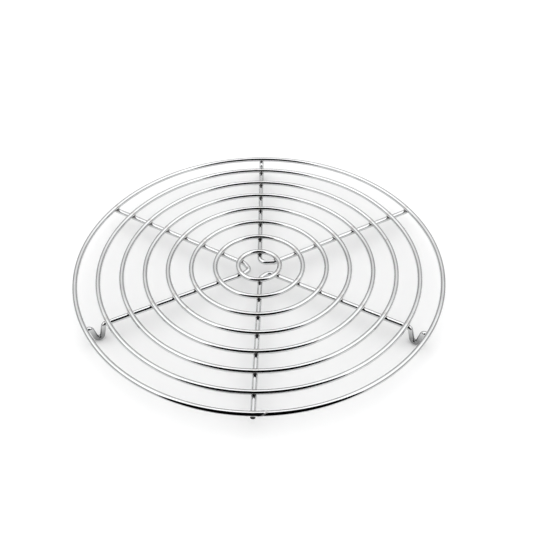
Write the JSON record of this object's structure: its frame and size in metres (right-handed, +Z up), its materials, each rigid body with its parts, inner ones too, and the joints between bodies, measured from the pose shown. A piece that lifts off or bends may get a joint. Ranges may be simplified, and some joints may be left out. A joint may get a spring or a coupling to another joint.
{
  "type": "round wire cooling rack",
  "caption": "Round wire cooling rack: concentric steel rings welded on top of radial spokes, standing on short feet bent out of the spoke wires.",
  "frame": {"origin": "on the table plane, under the common centre of the rings", "axes": "+Z up through the rings' centre; +Y towards the back spoke, which carries one of the three feet; +X between the two right-hand spokes"},
  "size_m": [0.2996, 0.2996, 0.0198],
  "materials": {
    "ring_wire": "bright drawn stainless wire, polished, with fine lengthwise draw lines",
    "spoke_wire": "bright drawn stainless wire, polished, faintly darkened at the spot welds"
  },
  "bodies": {
    "root": {"ring_1": "ring_wire", "ring_2": "ring_wire", "ring_3": "ring_wire", "ring_4": "ring_wire", "ring_5": "ring_wire", "ring_6": "ring_wire", "ring_7": "ring_wire", "ring_8_rim": "ring_wire", "spoke_wire_back": "spoke_wire", "spoke_wire_left": "spoke_wire", "spoke_wire_right": "spoke_wire"}
  },
  "joints": []
}
